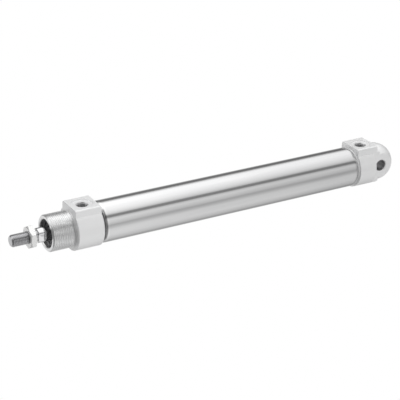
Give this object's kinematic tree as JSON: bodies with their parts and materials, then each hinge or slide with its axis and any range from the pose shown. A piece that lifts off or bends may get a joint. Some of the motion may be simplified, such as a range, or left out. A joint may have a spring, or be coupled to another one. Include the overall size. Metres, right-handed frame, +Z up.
{
  "type": "pneumatic cylinder",
  "caption": "Slim round-tube double-acting pneumatic cylinder with a ported cover at each end, a spherical rear pivot lug, a threaded nose and a threaded piston rod with lock nut.",
  "frame": {"origin": "centre of the rear pivot hole, midway between the lug's two flats", "axes": "+X along the cylinder axis towards the rod end, +Y along the pivot hole, +Z up through both ports"},
  "size_m": [0.3639, 0.0364, 0.0377],
  "materials": {
    "cover": "matte clear-anodised cast and machined aluminium",
    "tube": "drawn and polished stainless steel, fine lengthwise grain",
    "rod": "ground and hard-chromed steel, cut thread",
    "zinc": "bright zinc plate",
    "seal": "black seal elastomer",
    "bumper": "black polyurethane",
    "bronze": "oil-filled sintered bronze",
    "carrier": "turned steel",
    "spring_steel": "phosphated spring steel",
    "guide": "filled bearing plastic",
    "piston": "turned aluminium",
    "magnet": "plastic-bonded ferrite"
  },
  "bodies": {
    "cylinder": {"front_cover": "cover", "rear_cover": "cover", "cylinder_tube": "tube", "front_tube_seal": "seal", "rear_tube_seal": "seal", "rod_bearing_bush": "bronze", "rod_seal": "seal", "seal_carrier": "carrier", "wiper_ring": "seal", "retaining_ring": "spring_steel", "front_bumper": "bumper", "rear_bumper": "bumper"},
    "piston_ring_set": {"piston_seal_front": "seal", "piston_seal_rear": "seal", "piston_guide_ring": "guide"},
    "rod": {"piston_rod": "rod", "piston_front_half": "piston", "piston_rear_half": "piston", "piston_magnet": "magnet", "piston_static_seal": "seal", "piston_nut": "zinc", "piston_washer": "zinc"},
    "lock_nut": {"rod_lock_nut": "zinc"}
  },
  "joints": [
    {"name": "rod_slide", "type": "slide", "parent": "cylinder", "child": "piston_ring_set", "axis": [1, 0, 0], "range_m": [0, 0.2]},
    {"name": "rod_turn", "type": "hinge", "parent": "piston_ring_set", "child": "rod", "pos_m": [0.05, 0, 0], "axis": [1, 0, 0], "continuous": true},
    {"name": "lock_nut_turn", "type": "hinge", "parent": "rod", "child": "lock_nut", "pos_m": [0.328, 0, 0], "axis": [1, 0, 0], "continuous": true}
  ]
}
